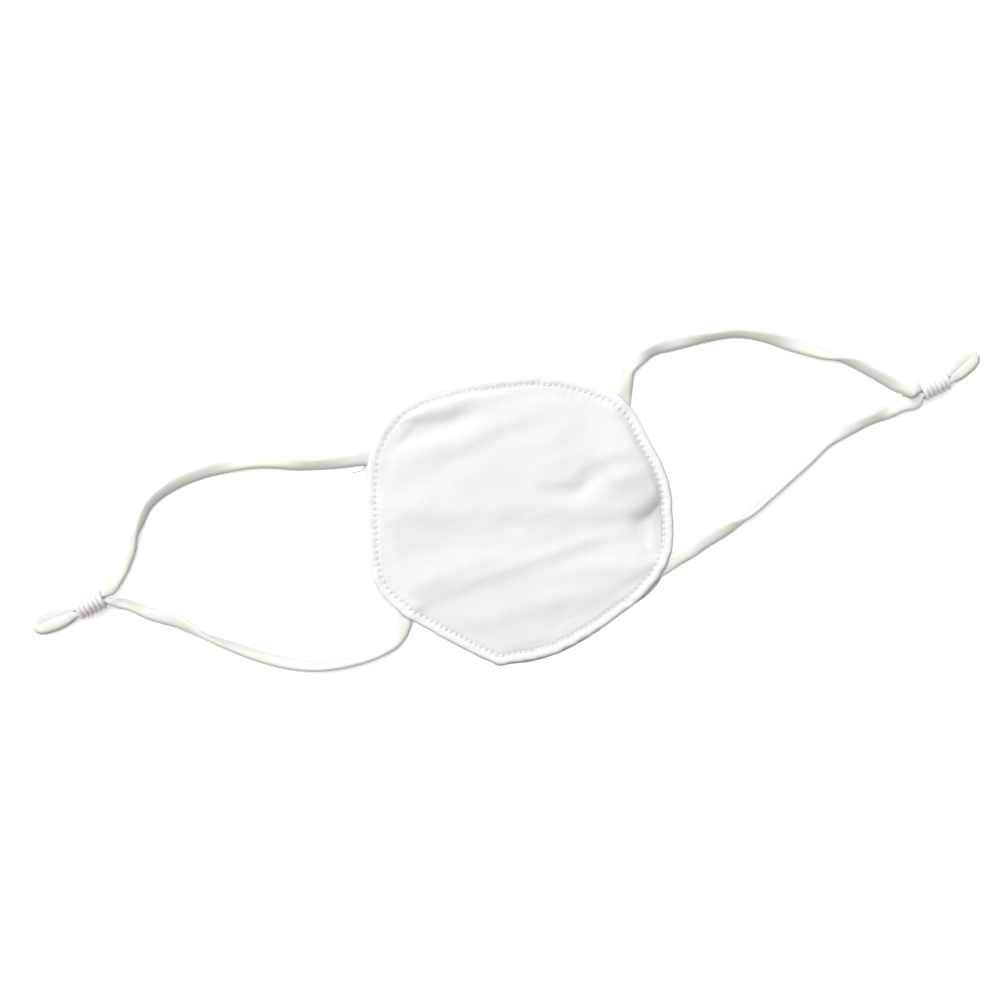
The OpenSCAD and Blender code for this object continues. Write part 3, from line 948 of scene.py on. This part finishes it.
def section_points(section, degrees, shift, relief, lift):
    """Rows of (x, y, height, tone) round the rim, one per entry of the section."""
    outline, c, s = round_outline(degrees)
    outline = outline - shift(degrees)
    rows = []
    for inset, z, share, tone in section:
        r = outline - inset
        x, y = r * c, r * s
        high = z + lift(inset, degrees) + share * relief(inset, degrees, x, y)
        # Painted shade along the fold on the side away from the light.
        away = smooth(0.5 - (c * LIT_SIDE[0] + s * LIT_SIDE[1]))
        shown = tone * (1 - EDGE_SHADE[0] * away * hill(inset, EDGE_SHADE[1]))
        if share == 1 and z > 1.5 and inset > STITCH_INSET + 0.5:
            high = above_layers(high, inset)
            # Painted shade deep between folds.
            shown = shown * (1 - shade(x, y))
        rows.append(np.stack([x, y, high, shown], axis=1))
    return rows


def core_points(section, degrees, shift, relief, count, rise):
    """The same for the middle, in count rows that shrink towards the centre."""
    outline, c, s = round_outline(degrees)
    outline = outline - shift(degrees)
    rows = []
    for i in range(1, count):
        share = 1 - i / count
        r = (outline - RIM_DEPTH) * share
        x, y = r * c, r * s
        z = section[-1][1] + rise * (1 - share**2) + relief(outline - r, degrees, x, y)
        shown = np.full(len(x), section[-1][3])
        if rise:
            z = above_layers(z, outline - r)
            # Painted shade deep between folds.
            shown = shown * (1 - shade(x, y))
        rows.append(np.stack([x, y, z, shown], axis=1))
    return rows


def make_cloth(name, section, shift, relief, lift, rise, core_steps, core_count, flip):
    """A cloth turned in at its edge: a rim, and a middle with a third as many points round it."""
    core_n = STITCHES * core_steps
    rim_n = 3 * core_n
    rim = section_points(section, np.arange(rim_n) * 360 / rim_n, shift, relief, lift)
    core = core_points(section, np.arange(core_n) * 360 / core_n, shift, relief, core_count, rise)
    points = np.concatenate(rim + core)
    faces = grid_faces(len(rim), rim_n)
    outer, inner = (len(rim) - 1) * rim_n, len(rim) * rim_n
    for k in range(core_n):
        a, b, c, d = (outer + (3 * k + j) % rim_n for j in range(4))
        left, right = inner + k, inner + (k + 1) % core_n
        faces += [(a, b, left), (b, c, right, left), (c, d, right)]
    faces += grid_faces(len(core), core_n, first=inner)
    last = len(points) - core_n
    middle = points[last:].mean(axis=0) * (0, 0, 1, 1)
    points = np.vstack([points, middle])
    faces += [(last + k, last + (k + 1) % core_n, len(points) - 1) for k in range(core_n)]
    if flip:
        faces = [f[::-1] for f in faces]
    cloth = new_object(name, points[:, :3] * MM, faces, CLOTH, points[:, :2] * MM, points[:, 3])
    thicken(cloth, CLOTH_T * MM)
    return cloth


def thicken(obj, thickness):
    """Give an open sheet its thickness, on its inner side."""
    modifier = obj.modifiers.new("thickness", "SOLIDIFY")
    modifier.thickness = thickness
    modifier.offset = -1
    bpy.context.view_layer.update()
    evaluated = obj.evaluated_get(bpy.context.evaluated_depsgraph_get())
    mesh = bpy.data.meshes.new_from_object(evaluated)
    obj.modifiers.clear()
    old, obj.data = obj.data, mesh
    bpy.data.meshes.remove(old)
    mesh.name = obj.name


def above_layers(z, inset):
    """Keeps the front cloth on top of the turned-in hem and the filter, with a soft stop."""
    floor, soft = np.interp(inset, *LAYERS_TOP), 0.12
    return floor + soft * np.log1p(np.exp((z - floor) / soft))


def no_lift(inset, degrees):
    return 0.0


def thread_piece(name, runs, radius, material, sides=8):
    """Many short round threads, each with rounded ends, as one object; runs are rows of points."""
    points, faces, uv = [], [], []
    a = np.arange(sides) * 2 * math.pi / sides
    for run in runs:
        run = np.asarray(run, float)
        n = len(run)
        step = np.gradient(run, axis=0)
        step /= np.linalg.norm(step, axis=1, keepdims=True)
        side = np.cross(step, (0, 0, 1))
        side /= np.linalg.norm(side, axis=1, keepdims=True)
        up = np.cross(side, step)
        arc = arc_lengths(run)
        first = len(points)
        for i in range(n):
            r = radius * (0.55 if i in (0, n - 1) else 1.0)
            for t in a:
                points.append(run[i] + r * (math.cos(t) * side[i] + math.sin(t) * up[i]))
                uv.append((arc[i], t / (2 * math.pi)))
        faces += grid_faces(n, sides, first=first)
        for i, sign in ((0, -1), (n - 1, 1)):
            tip = len(points)
            points.append(run[i] + sign * 0.5 * radius * step[i])
            uv.append((arc[i], 0))
            row = [first + i * sides + k for k in range(sides)]
            faces += [(tip, row[k], row[(k + 1) % sides])[::sign] for k in range(sides)]
    return new_object(name, np.array(points), faces, material, uv)


def front_height(inset, degrees):
    """Height of the front's surface in the rim, in millimetres."""
    table = [(d, z) for d, z, share, _ in FRONT_SECTION if share > 0]
    outline = HALF_WIDTH / MM * edge_ratio(float(degrees)) - front_shift(degrees)
    x, y = (outline - inset) * unit(degrees)
    return (np.interp(inset, *zip(*table)) + cord_bulge(inset, degrees)
            + front_relief(inset, degrees, x, y))


THREAD_R = 0.00017
BOBBIN_R = 0.00013
FINE_THREAD_R = 0.0001
LOOSE_THREAD_R = 0.00014
SEAM_INSET = 0.0017
SEAM_SWAY = 0.0002
SEAM_Z = (0.00108, 0.00118)
TACK_Z = 0.00178


def stitch_runs(height):
    """One run of thread per stitch; height(angle, dive), with dive 1 at the needle holes."""
    runs = []
    for k in range(STITCHES):
        run = []
        for t in np.linspace(-0.47, 0.47, 9):
            a = (k + t) * 360 / STITCHES
            x, y = edge_point(a, STITCH_INSET * MM)
            run.append((x, y, MM * height(a, (abs(t) / 0.47) ** 3)))
        runs.append(run)
    return runs


def top_stitch_height(angle, dive):
    k = round(angle / 360 * STITCHES)
    over = front_height(STITCH_INSET, k * 360 / STITCHES) + 0.05
    return over - 0.45 * dive


def bobbin_height(angle, dive):
    return 0.2 + 0.3 * dive


def seam_runs():
    """The seam that closes the hem, inside the folded edge."""
    runs = []
    for low, high in zip(SEAM_ENDS[:-1], SEAM_ENDS[1:]):
        run = []
        for a in np.arange(low + 1.2, high - 1.2, 0.6):
            sway = math.sin(math.radians(a * STITCHES / 2))
            run.append((*edge_point(a, SEAM_INSET + SEAM_SWAY * sway), SEAM_Z[abs(sway) > 0.5]))
        runs.append(run)
    return runs


def tack_runs():
    """Zigzag tacks that hold the four cord ends in the hem."""
    runs = []
    for angle, heading, _ in EXITS.values():
        away = unit(heading)
        across = np.array([-away[1], away[0]])
        start = edge_point(angle) - 0.0058 * away
        runs.append([(*(start + (0.0004 * i) * away + 0.0022 * (-1) ** i * across), TACK_Z)
                     for i in range(8)])
    return runs


SLACK = slack_grid()


def make_panel():
    front = make_cloth("front_cloth", FRONT_SECTION, front_shift, front_relief, cord_bulge,
                       CORE_RISE, 2, 40, False)
    back = make_cloth("back_cloth", BACK_SECTION, back_shift, back_relief, no_lift,
                      0.0, 1, 16, True)
    for cloth in (front, back):
        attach(cloth, "panel")
    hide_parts("outer_cloth", "turned_edges")
    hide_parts("inner_cloth")
    top, bobbin = stitch_runs(top_stitch_height), stitch_runs(bobbin_height)
    threads = [
        thread_piece("topstitch_thread", top, THREAD_R, THREAD),
        thread_piece("bobbin_thread", bobbin, BOBBIN_R, THREAD),
        thread_piece("closing_seam_thread", seam_runs(), FINE_THREAD_R, THREAD, 6),
        thread_piece("cord_tack_threads", tack_runs(), FINE_THREAD_R, THREAD, 6),
        thread_piece("loose_thread", [loose_thread_run()], LOOSE_THREAD_R, LOOSE_THREAD),
    ]
    nodes = ("topstitch", "bobbin_stitch", "closing_seam", "cord_tacks", "loose_thread_end")
    for thread, node in zip(threads, nodes):
        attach(thread, "panel")
        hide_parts(node)
    make_filter()


def make_filter():
    """The non-woven filter between the cloths, inside the hem's turned-in ends."""
    degrees = np.arange(STITCHES) * 360 / STITCHES
    outline, c, s = round_outline(degrees)
    outline = outline - TURN_IN - 0.6
    profile = [(share, 0.75) for share in np.linspace(0.04, 0.96, 12)]
    profile += [(1.0, 0.85), (1.004, 1.05), (1.0, 1.25)]
    profile += [(share, 1.4) for share in np.linspace(0.96, 0.04, 12)]
    rough = 0.05 * np.random.default_rng(41).normal(size=(len(profile), STITCHES))
    rows = [np.stack([share * outline * c, share * outline * s, z + rough[i]], axis=1)
            for i, (share, z) in enumerate(profile)]
    points = np.concatenate(rows)
    faces = grid_faces(len(rows), STITCHES)
    low, high = len(points), len(points) + 1
    last = len(points) - STITCHES
    points = np.vstack([points, (0, 0, 0.75), (0, 0, 1.4)])
    faces += [((k + 1) % STITCHES, k, low) for k in range(STITCHES)]
    faces += [(last + k, last + (k + 1) % STITCHES, high) for k in range(STITCHES)]
    felt = new_object("filter_felt", points * MM, faces, FELT)
    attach(felt, "panel")
    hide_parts("filter_layer")


def loose_thread_run():
    """The short dark end of thread that sticks out by the upper left cord, lying on the floor."""
    low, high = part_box("loose_thread_end")
    ends = np.array([(high[0], high[1]), (low[0], low[1])])
    run = []
    for t in np.linspace(0, 1, 14):
        x, y = ends[0] * (1 - t) + ends[1] * t
        run.append((x + 0.0004 * math.sin(t * 5), y - 0.0009 * math.sin(t * math.pi),
                    0.0002 + 0.0003 * (1 - t) ** 2))
    return run


# ---- adjusters

RIB_PITCH = 1.9
RIBS = 6
RIB_R = 4.1
VALLEY_R = 3.35
BORE_R = 2.5
SLEEVE_SIDES = 72
SLEEVE_SHADE = 0.42


def adjuster_profile():
    """(place along, radius) out over a ribbed sleeve's ribs and back in its bore."""
    half = ADJUSTER_LENGTH / MM / 2
    outer = []
    for s in np.linspace(-half + 0.12, half - 0.12, RIBS * 14):
        wave = 0.5 - 0.5 * math.cos(2 * math.pi * (s + RIBS * RIB_PITCH / 2) / RIB_PITCH)
        outer.append((s, VALLEY_R + (RIB_R - VALLEY_R) * wave ** 0.6))
    lip = [(half, VALLEY_R - 0.15), (half, BORE_R + 0.25), (half - 0.3, BORE_R)]
    bore = [(s, BORE_R) for s in np.linspace(half - 1.2, 1.2 - half, 6)]
    return outer + lip + bore + [(-s, r) for s, r in reversed(lip)]


def make_adjuster(side):
    middle, heading, _ = adjuster_place(side)
    out = unit(heading)
    across = np.array([-out[1], out[0]])
    profile = adjuster_profile()
    a = np.arange(SLEEVE_SIDES) * 2 * math.pi / SLEEVE_SIDES
    dice = np.random.default_rng(51 if side == "left" else 52)
    sway = dice.uniform(0, 2 * math.pi, 3)
    points, uv, tone = [], [], []
    for s, r in profile:
        for t in a:
            # Painted shade: darker in the rib valleys and the bore, on the underside, and on the
            # side away from the light.
            rib = np.clip((r - VALLEY_R) / (RIB_R - VALLEY_R), 0, 1)
            away = -math.cos(t) * (across @ LIT_SIDE)
            tone.append((0.80 + 0.20 * rib) * (0.35 + 0.65 * smooth((math.sin(t) + 0.75) / 1.1))
                        * (1 - SLEEVE_SHADE * smooth((away - 0.15) / 0.75)))
            w = r * (1 + 0.012 * math.cos(2 * t + sway[0])
                     + 0.008 * math.sin(0.9 * s + t + sway[1]))
            flat = middle[:2] + MM * (s * out + w * math.cos(t) * across)
            points.append((*flat, max(middle[2] + MM * w * math.sin(t), 0.00002)))
            uv.append((s * MM, t / (2 * math.pi)))
    faces = grid_faces(len(profile), SLEEVE_SIDES)
    last = len(points) - SLEEVE_SIDES
    for k in range(SLEEVE_SIDES):
        following = (k + 1) % SLEEVE_SIDES
        faces.append((last + k, last + following, following, k))
    sleeve = new_object(f"{side}_adjuster_sleeve", points, faces, SILICONE, uv, tone)
    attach(sleeve, f"{side}_adjuster")
    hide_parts(f"{side}_adjuster")
    return sleeve


# ---- floor and light

FLOOR_HALF = 40.0
SKY_SIDE = (-0.25, 0.71, 0.66)
SKY_RANGE = (-0.75, 1.0, 0.09, 0.92)  # from and to along SKY_SIDE, darkest and lightest
KEY_PLACE = (-0.42, 0.91, 1.15)
KEY_SPREAD = 66
KEY_ENERGY = 3.35


def make_floor():
    size = FLOOR_HALF
    points = [(-size, -size, 0), (size, -size, 0), (size, size, 0), (-size, size, 0)]
    floor = new_object("floor", points, [(0, 1, 2, 3)], floor_material())


def make_key():
    data = bpy.data.lights.new("key", "SUN")
    data.energy = KEY_ENERGY
    data.angle = math.radians(KEY_SPREAD)
    lamp = placed("key", data)
    lamp.location = KEY_PLACE
    lamp.rotation_euler = Vector(KEY_PLACE).to_track_quat("Z", "Y").to_euler()


def make_world():
    world = bpy.data.worlds.new("world")
    world.use_nodes = True
    tree = world.node_tree
    background = tree.nodes["Background"]
    background.inputs[0].default_value = (1, 1, 1, 1)
    place = tree.nodes.new("ShaderNodeTexCoord")
    side = tree.nodes.new("ShaderNodeVectorMath")
    side.operation = "DOT_PRODUCT"
    side.inputs[1].default_value = SKY_SIDE
    tree.links.new(place.outputs["Generated"], side.inputs[0])
    ramp = tree.nodes.new("ShaderNodeMapRange")
    for end, value in zip(("From Min", "From Max", "To Min", "To Max"), SKY_RANGE):
        ramp.inputs[end].default_value = value
    tree.links.new(side.outputs["Value"], ramp.inputs["Value"])
    tree.links.new(ramp.outputs["Result"], background.inputs[1])
    bpy.context.scene.world = world
    bpy.context.scene.view_settings.view_transform = "Standard"


# ---- making

make_camera()
for cord_side in ("left", "right"):
    make_ear_cord(cord_side)
make_panel()
make_floor()
make_key()
make_world()
